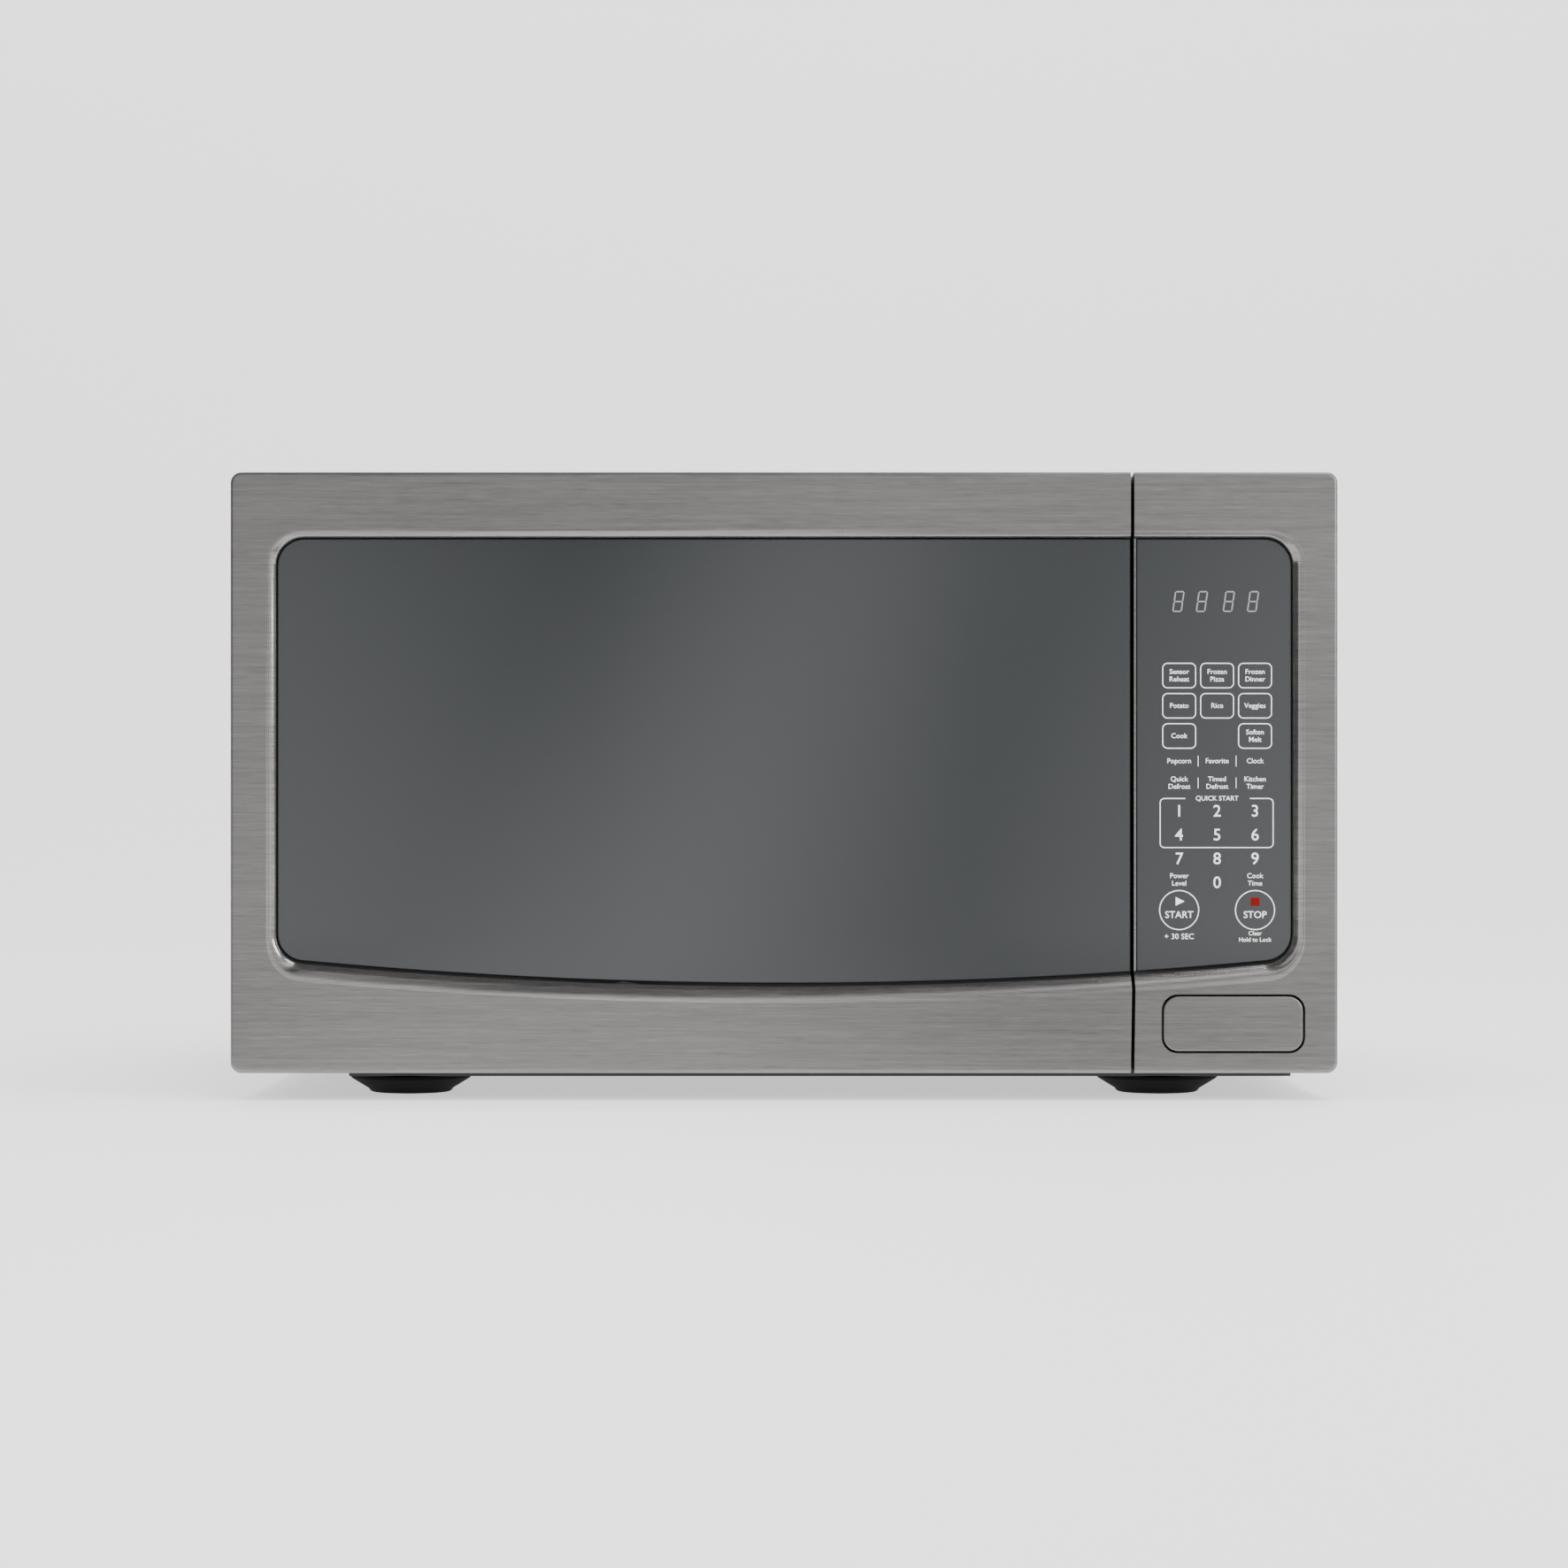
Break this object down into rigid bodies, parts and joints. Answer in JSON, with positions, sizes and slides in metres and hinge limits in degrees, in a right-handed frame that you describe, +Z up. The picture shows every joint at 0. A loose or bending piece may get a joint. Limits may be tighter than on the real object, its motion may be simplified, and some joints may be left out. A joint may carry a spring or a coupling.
{
  "type": "countertop microwave oven",
  "caption": "Countertop microwave oven with a side-hinged glass door, keypad panel, push-button release and a rotating glass tray.",
  "frame": {"origin": "on the counter plane, at the middle of the oven's width and depth", "axes": "+X to the right seen from the front, +Y to the back, +Z up; the door faces -Y"},
  "size_m": [0.608, 0.5, 0.345],
  "materials": {
    "brushed_steel_front": "fine horizontal brushing, satin",
    "smoked_glass": "polished, dark and almost opaque",
    "painted_cover": "fine textured dark grey paint",
    "galvanised_steel": "zinc coated sheet",
    "cavity_enamel": "smooth light grey enamel",
    "clear_glass": "clear tempered glass",
    "window_film": "clear polyester window sheet",
    "black_plastic": "fine grained black plastic",
    "white_plastic": "natural acetal and polypropylene",
    "screen_paint": "perforated sheet, black paint",
    "foot_rubber": "matt black rubber",
    "circuit_board": "green solder mask",
    "transformer_steel": "varnished laminations",
    "aluminium_case": "drawn aluminium",
    "spring_steel": "drawn wire",
    "mica": "pressed mica sheet"
  },
  "bodies": {
    "cabinet": {"outer_cover": "painted_cover", "base_plate": "galvanised_steel", "front_flange": "cavity_enamel", "rear_panel": "galvanised_steel", "cord_bushing": "black_plastic", "upper_hinge": "galvanised_steel", "lower_hinge": "galvanised_steel", "left_rear_spacer": "black_plastic", "right_rear_spacer": "black_plastic", "front_left_foot": "foot_rubber", "front_right_foot": "foot_rubber", "rear_left_foot": "foot_rubber", "rear_right_foot": "foot_rubber", "cavity_side_wrap": "cavity_enamel", "cavity_floor": "cavity_enamel", "cavity_back": "cavity_enamel", "waveguide": "galvanised_steel", "waveguide_cover": "mica", "oven_lamp": "white_plastic", "thermal_cutout": "black_plastic", "humidity_sensor": "white_plastic", "turntable_motor": "galvanised_steel", "magnetron": "aluminium_case", "hv_transformer": "transformer_steel", "hv_capacitor": "aluminium_case", "capacitor_clamp": "galvanised_steel", "hv_diode": "black_plastic", "air_duct": "black_plastic", "fan_shroud": "black_plastic", "fan_motor": "transformer_steel", "noise_filter_board": "circuit_board", "control_fascia": "brushed_steel_front", "keypad_panel": "smoked_glass", "display_module": "black_plastic", "control_board": "circuit_board", "button_spring": "spring_steel", "lever_pin": "spring_steel", "latch_board": "black_plastic", "primary_switch": "black_plastic", "monitor_switch": "black_plastic", "secondary_switch": "black_plastic"},
    "door": {"door_bezel": "brushed_steel_front", "door_glass": "smoked_glass", "door_choke_frame": "cavity_enamel", "door_screen": "screen_paint", "door_inner_window": "window_film", "choke_cover": "black_plastic", "latch_spring": "spring_steel"},
    "latch": {"latch_hook": "white_plastic"},
    "release_button": {"release_button": "brushed_steel_front"},
    "release_lever": {"release_lever": "white_plastic"},
    "turntable": {"turntable_coupler": "white_plastic"},
    "tray": {"glass_tray": "clear_glass"},
    "roller_ring": {"roller_ring": "white_plastic"},
    "roller_1": {"roller_wheel_1": "white_plastic"},
    "roller_2": {"roller_wheel_2": "white_plastic"},
    "roller_3": {"roller_wheel_3": "white_plastic"},
    "fan": {"fan_blade": "white_plastic"}
  },
  "joints": [
    {"name": "door_hinge", "type": "hinge", "parent": "cabinet", "child": "door", "pos_m": [-0.292, -0.226, 0.18], "axis": [0, 0, -1], "range_deg": [0, 100]},
    {"name": "button_press", "type": "slide", "parent": "cabinet", "child": "release_button", "axis": [0, 1, 0], "range_m": [0, 0.006], "stiffness_N_per_m": 600, "springref_m": -0.004, "deforming": ["button_spring"]},
    {"name": "lever_swing", "type": "hinge", "parent": "cabinet", "child": "release_lever", "pos_m": [0.24665, -0.206, 0.06615], "axis": [1, 0, 0], "range_deg": [0, 14.5]},
    {"name": "latch_lift", "type": "slide", "parent": "door", "child": "latch", "axis": [0, 0, 1], "range_m": [0, 0.0046], "stiffness_N_per_m": 300, "springref_m": -0.003, "deforming": ["latch_spring"]},
    {"name": "turntable_spin", "type": "hinge", "parent": "cabinet", "child": "turntable", "pos_m": [-0.057, 0.0063, 0.05], "axis": [0, 0, 1], "continuous": true},
    {"name": "tray_lift", "type": "slide", "parent": "turntable", "child": "tray", "axis": [0, 0, 1], "range_m": [0, 0.03]},
    {"name": "ring_spin", "type": "hinge", "parent": "cabinet", "child": "roller_ring", "pos_m": [-0.057, 0.0063, 0.0483], "axis": [0, 0, 1], "continuous": true},
    {"name": "roller_1_spin", "type": "hinge", "parent": "roller_ring", "child": "roller_1", "pos_m": [-0.057, 0.1643, 0.0483], "axis": [0, 1, 0], "continuous": true},
    {"name": "roller_2_spin", "type": "hinge", "parent": "roller_ring", "child": "roller_2", "pos_m": [-0.19383, -0.0727, 0.0483], "axis": [-0.866, -0.5, 0], "continuous": true},
    {"name": "roller_3_spin", "type": "hinge", "parent": "roller_ring", "child": "roller_3", "pos_m": [0.07983, -0.0727, 0.0483], "axis": [0.866, -0.5, 0], "continuous": true},
    {"name": "fan_spin", "type": "hinge", "parent": "cabinet", "child": "fan", "pos_m": [0.2275, 0.2, 0.235], "axis": [0, 1, 0], "continuous": true}
  ],
  "couplings": [
    {"joint": "lever_swing", "follows": "button_press", "rad_per_m": 41.667},
    {"joint": "latch_lift", "follows": "button_press", "ratio": 0.75},
    {"joint": "ring_spin", "follows": "turntable_spin", "ratio": 0.5},
    {"joint": "roller_1_spin", "follows": "turntable_spin", "ratio": -9.875},
    {"joint": "roller_2_spin", "follows": "turntable_spin", "ratio": -9.875},
    {"joint": "roller_3_spin", "follows": "turntable_spin", "ratio": -9.875}
  ]
}
